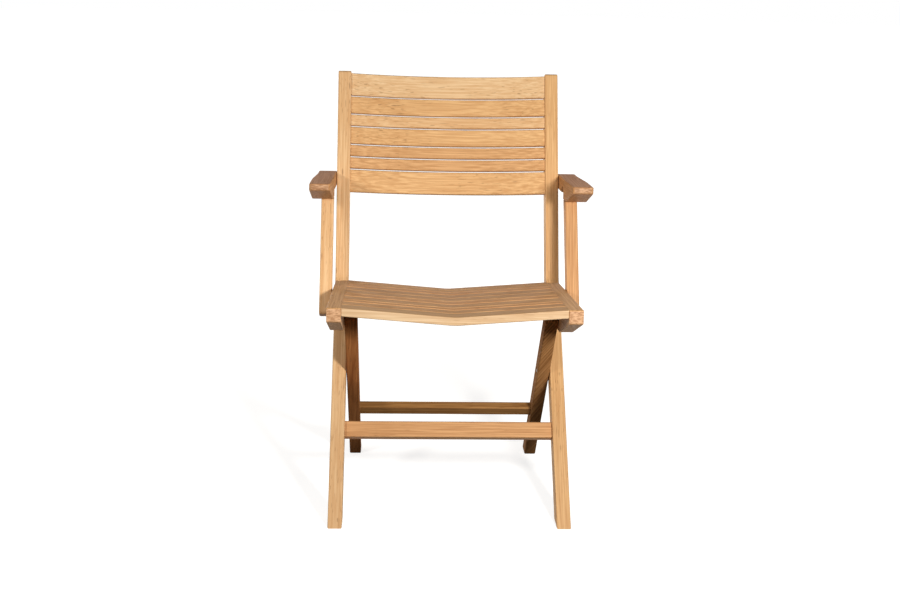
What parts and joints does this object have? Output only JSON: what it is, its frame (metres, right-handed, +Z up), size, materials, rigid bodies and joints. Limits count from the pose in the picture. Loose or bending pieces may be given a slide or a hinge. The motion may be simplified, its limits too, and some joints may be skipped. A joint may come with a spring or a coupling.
{
  "type": "folding armchair",
  "caption": "Folding teak armchair with crossed legs, a dished slatted seat, a curved slatted back and armrests on posts; seat, legs and arms fold flat together.",
  "frame": {"origin": "on the floor, under the middle of the chair's width and length when it is open", "axes": "+Z up, +X to the sitter's left, +Y to the rear; the chair faces -Y"},
  "size_m": [0.5748, 0.6012, 0.8517],
  "materials": {
    "teak": "oiled teak, satin",
    "steel": "stainless, satin"
  },
  "bodies": {
    "back_frame": {"armrest_bolt_nuts": "steel", "armrest_bolts": "steel", "armrest_washers": "steel", "back_slat_1": "teak", "back_slat_2": "teak", "back_slat_3": "teak", "back_slat_4": "teak", "back_slat_5": "teak", "back_slat_6": "teak", "back_slat_7": "teak", "front_stretcher": "teak", "left_stile_and_front_leg": "teak", "leg_bolt_nuts": "steel", "leg_bolts": "steel", "leg_washers": "steel", "right_stile_and_front_leg": "teak", "seat_hinge_plates": "steel", "seat_hinge_rivets": "steel"},
    "left_post": {"left_arm_hinge_lower_leaf": "steel", "left_arm_hinge_lower_screws": "steel", "left_arm_post": "teak"},
    "left_armrest_group": {"left_arm_hinge_pin": "steel", "left_arm_hinge_upper_leaf": "steel", "left_arm_hinge_upper_screws": "steel", "left_armrest": "teak"},
    "rear_legs": {"left_rear_leg": "teak", "rear_stretcher": "teak", "rest_rod": "steel", "right_rear_leg": "teak"},
    "seat": {"left_seat_rail": "teak", "post_bolt_nuts": "steel", "post_bolts": "steel", "post_washers": "steel", "right_seat_rail": "teak", "seat_hinge_pins": "steel", "seat_slat_1": "teak", "seat_slat_10": "teak", "seat_slat_2": "teak", "seat_slat_3": "teak", "seat_slat_4": "teak", "seat_slat_5": "teak", "seat_slat_6": "teak", "seat_slat_7": "teak", "seat_slat_8": "teak", "seat_slat_9": "teak"},
    "right_post": {"right_arm_hinge_lower_leaf": "steel", "right_arm_hinge_lower_screws": "steel", "right_arm_post": "teak"},
    "right_armrest_group": {"right_arm_hinge_pin": "steel", "right_arm_hinge_upper_leaf": "steel", "right_arm_hinge_upper_screws": "steel", "right_armrest": "teak"}
  },
  "joints": [
    {"name": "seat_fold", "type": "hinge", "parent": "back_frame", "child": "seat", "pos_m": [0, 0.07977, 0.41652], "axis": [-1, 0, 0], "range_deg": [0, 105]},
    {"name": "rear_leg_fold", "type": "hinge", "parent": "back_frame", "child": "rear_legs", "pos_m": [0, -0.01637, 0.25642], "axis": [-1, 0, 0], "range_deg": [0, 56]},
    {"name": "left_armrest_fold", "type": "hinge", "parent": "back_frame", "child": "left_armrest_group", "pos_m": [0, 0.20532, 0.62458], "axis": [-1, 0, 0], "range_deg": [0, 105]},
    {"name": "left_arm_post_fold", "type": "hinge", "parent": "left_armrest_group", "child": "left_post", "pos_m": [0, 0.09378, 0.60229], "axis": [-1, 0, 0], "range_deg": [-105, 0]},
    {"name": "right_armrest_fold", "type": "hinge", "parent": "back_frame", "child": "right_armrest_group", "pos_m": [0, 0.20532, 0.62458], "axis": [-1, 0, 0], "range_deg": [0, 105]},
    {"name": "right_arm_post_fold", "type": "hinge", "parent": "right_armrest_group", "child": "right_post", "pos_m": [0, 0.09378, 0.60229], "axis": [-1, 0, 0], "range_deg": [-105, 0]}
  ],
  "couplings": [
    {"joint": "rear_leg_fold", "follows": "seat_fold", "ratio": 0.53333},
    {"joint": "left_armrest_fold", "follows": "seat_fold", "ratio": 1},
    {"joint": "left_arm_post_fold", "follows": "seat_fold", "ratio": -1},
    {"joint": "right_armrest_fold", "follows": "seat_fold", "ratio": 1},
    {"joint": "right_arm_post_fold", "follows": "seat_fold", "ratio": -1}
  ]
}
